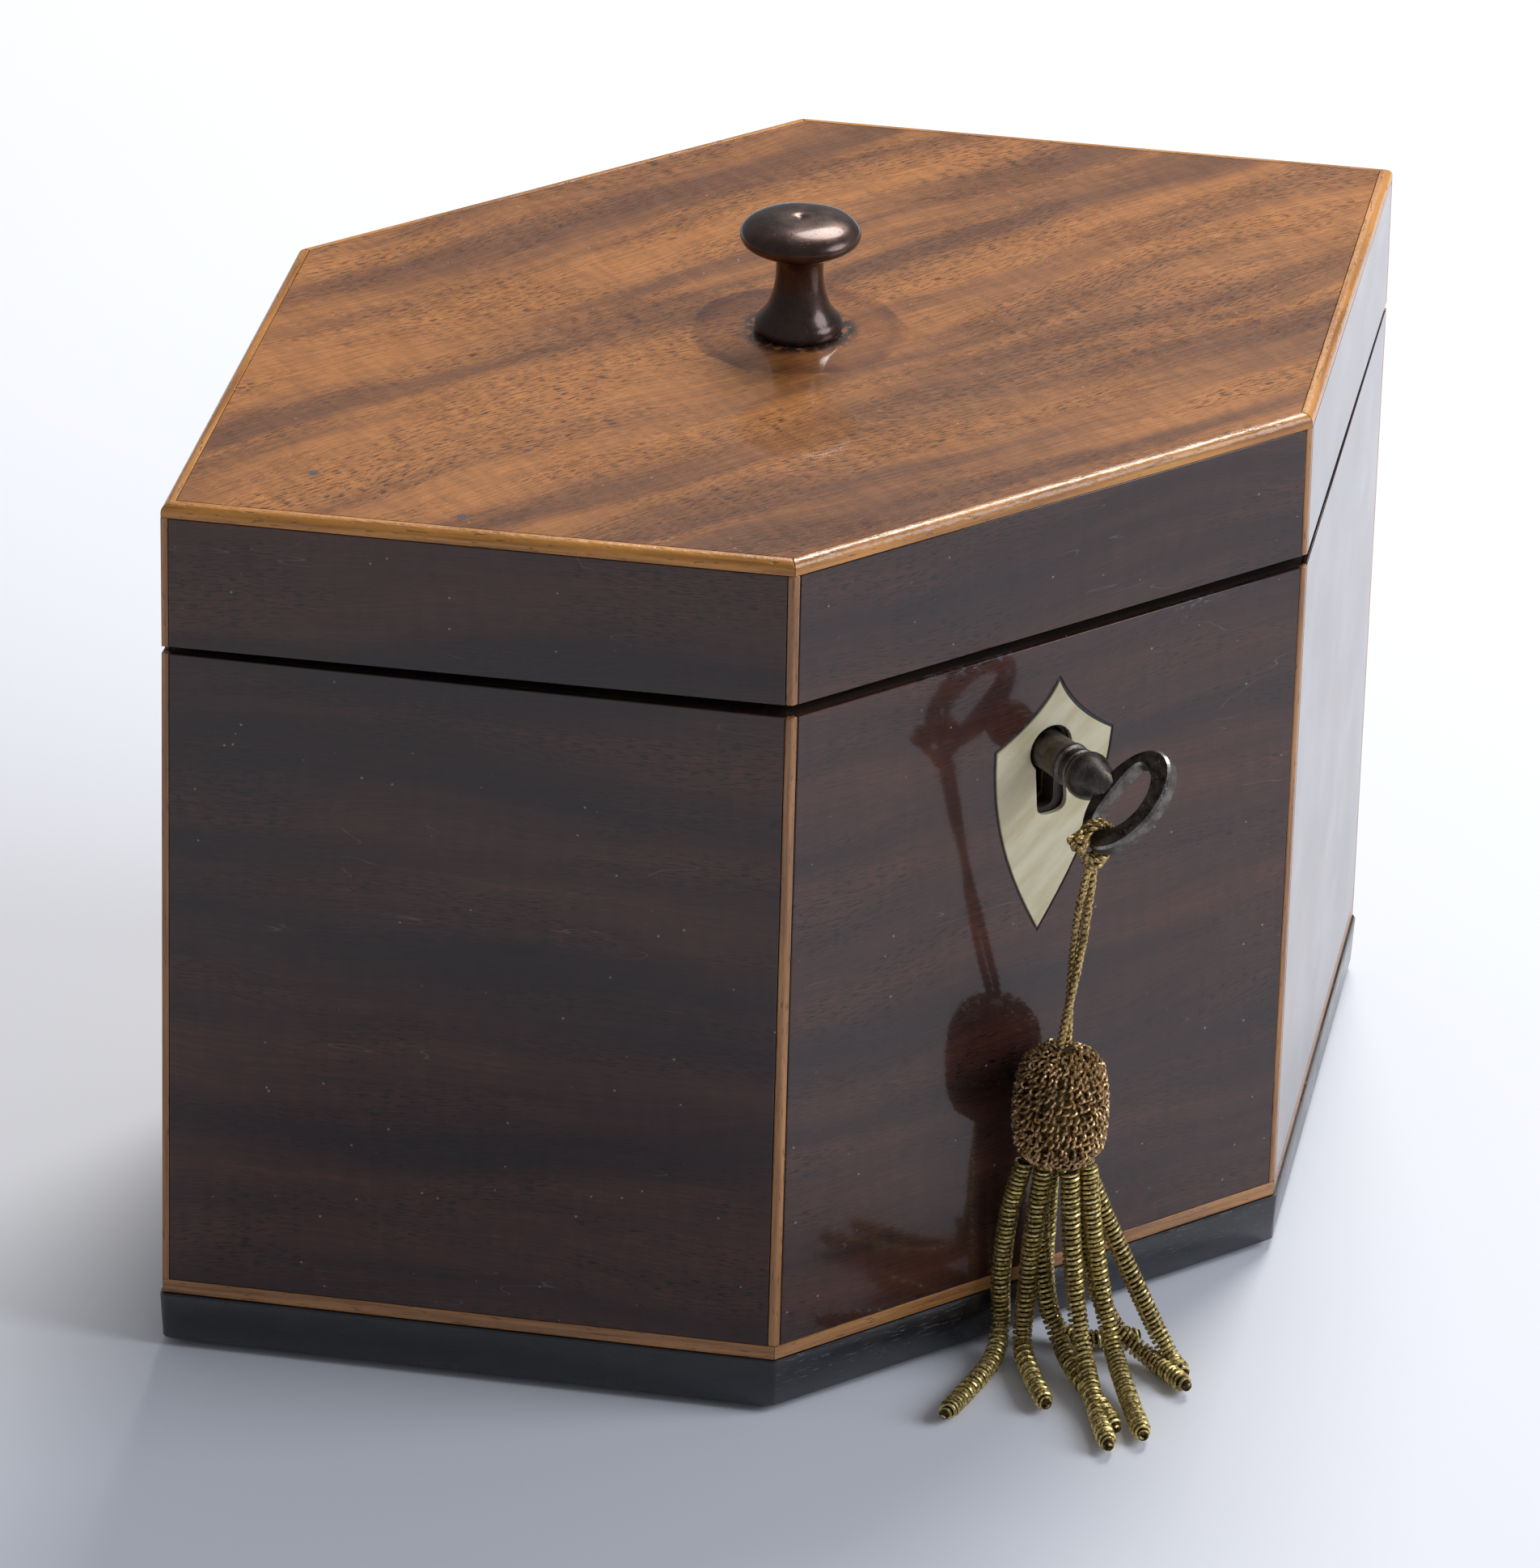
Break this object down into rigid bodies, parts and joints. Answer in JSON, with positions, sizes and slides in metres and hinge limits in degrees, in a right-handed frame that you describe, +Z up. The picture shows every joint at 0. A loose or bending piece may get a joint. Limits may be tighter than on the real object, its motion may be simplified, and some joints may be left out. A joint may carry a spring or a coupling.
{
  "type": "tea caddy",
  "caption": "Hexagonal wooden tea caddy with a hinged lid, a lock with its key and tassel, a lift-out inner lid and a foil-lined tea compartment.",
  "frame": {"origin": "centre of the underside, on the surface that the caddy stands on", "axes": "+Z up, -Y out of the front with the keyhole, +X to the right as seen from the front, along the length"},
  "size_m": [0.1854, 0.142, 0.1311],
  "materials": {
    "carcase_wood": "plain secondary timber, unpolished",
    "mahogany": "dark french-polished mahogany veneer",
    "figured_mahogany": "glossy figured mahogany veneer, orange brown",
    "boxwood": "polished boxwood lines",
    "ebonised_wood": "ebonised, satin",
    "foil": "dull tin-lead foil",
    "bone": "polished bone, cream with fine streaks",
    "brass": "aged brass",
    "bronze": "dark patinated bronze, glossy",
    "steel": "aged steel, satin with worn edges",
    "gilt_thread": "gilt metal thread, antique gold"
  },
  "bodies": {
    "caddy": {"base_board": "carcase_wood", "plinth": "ebonised_wood", "wall_front": "carcase_wood", "wall_right_front": "carcase_wood", "wall_right_back": "carcase_wood", "wall_back": "carcase_wood", "wall_left_back": "carcase_wood", "wall_left_front": "carcase_wood", "veneer_front": "mahogany", "veneer_right_front": "mahogany", "veneer_right_back": "mahogany", "veneer_back": "mahogany", "veneer_left_back": "mahogany", "veneer_left_front": "mahogany", "body_stringing": "boxwood", "escutcheon": "bone", "tea_lining": "foil", "inner_ledge": "mahogany", "lock_plate": "brass", "lock_case": "brass", "lock_spring": "steel", "lock_screw_left": "brass", "lock_screw_right": "brass", "hinge_lower_leaf_left": "brass", "hinge_lower_leaf_right": "brass", "hinge_pin_left": "steel", "hinge_pin_right": "steel", "hinge_lower_screw_left_outer": "brass", "hinge_lower_screw_left_inner": "brass", "hinge_lower_screw_right_outer": "brass", "hinge_lower_screw_right_inner": "brass"},
    "lid": {"lid_frame": "carcase_wood", "lid_board": "carcase_wood", "lid_top_veneer": "figured_mahogany", "lid_veneer_front": "mahogany", "lid_veneer_right_front": "mahogany", "lid_veneer_right_back": "mahogany", "lid_veneer_back": "mahogany", "lid_veneer_left_back": "mahogany", "lid_veneer_left_front": "mahogany", "lid_stringing": "boxwood", "knob": "bronze", "striker": "brass", "striker_screw_left": "brass", "striker_screw_right": "brass", "hinge_upper_leaf_left": "brass", "hinge_upper_leaf_right": "brass", "hinge_upper_screw_left_outer": "brass", "hinge_upper_screw_left_inner": "brass", "hinge_upper_screw_right_outer": "brass", "hinge_upper_screw_right_inner": "brass"},
    "inner_lid": {"inner_lid": "mahogany", "inner_lid_knob": "bone"},
    "bolt": {"lock_bolt": "brass"},
    "key": {"key": "steel"},
    "tassel_loop": {"tassel_loop": "gilt_thread"},
    "tassel": {"tassel_cord": "gilt_thread", "tassel_head": "gilt_thread", "tassel_fringe": "gilt_thread"}
  },
  "joints": [
    {"name": "lid_hinge", "type": "hinge", "parent": "caddy", "child": "lid", "pos_m": [0, 0.05471, 0.0961], "axis": [-1, 0, 0], "range_deg": [-0.72, 95]},
    {"name": "key_turn", "type": "hinge", "parent": "caddy", "child": "key", "pos_m": [0, -0.05431, 0.0813], "axis": [0, 1, 0], "range_deg": [-47, 313]},
    {"name": "bolt_throw", "type": "slide", "parent": "caddy", "child": "bolt", "axis": [1, 0, 0], "range_m": [-0.00066, 0.00436]},
    {"name": "inner_lid_lift", "type": "slide", "parent": "caddy", "child": "inner_lid", "axis": [0, 0, 1], "range_m": [0, 0.008]},
    {"name": "tassel_hang", "type": "hinge", "parent": "key", "child": "tassel_loop", "pos_m": [-0.00442, -0.07031, 0.07717], "axis": [0, 1, 0], "range_deg": [-313, 47], "deforming": ["tassel_cord"]},
    {"name": "tassel_swing", "type": "hinge", "parent": "tassel_loop", "child": "tassel", "pos_m": [-0.00442, -0.07031, 0.07717], "axis": [-1, 0, 0], "range_deg": [0, 45]}
  ],
  "couplings": [
    {"joint": "bolt_throw", "follows": "key_turn", "m_per_rad": 0.00079577},
    {"joint": "tassel_hang", "follows": "key_turn", "ratio": -1}
  ]
}
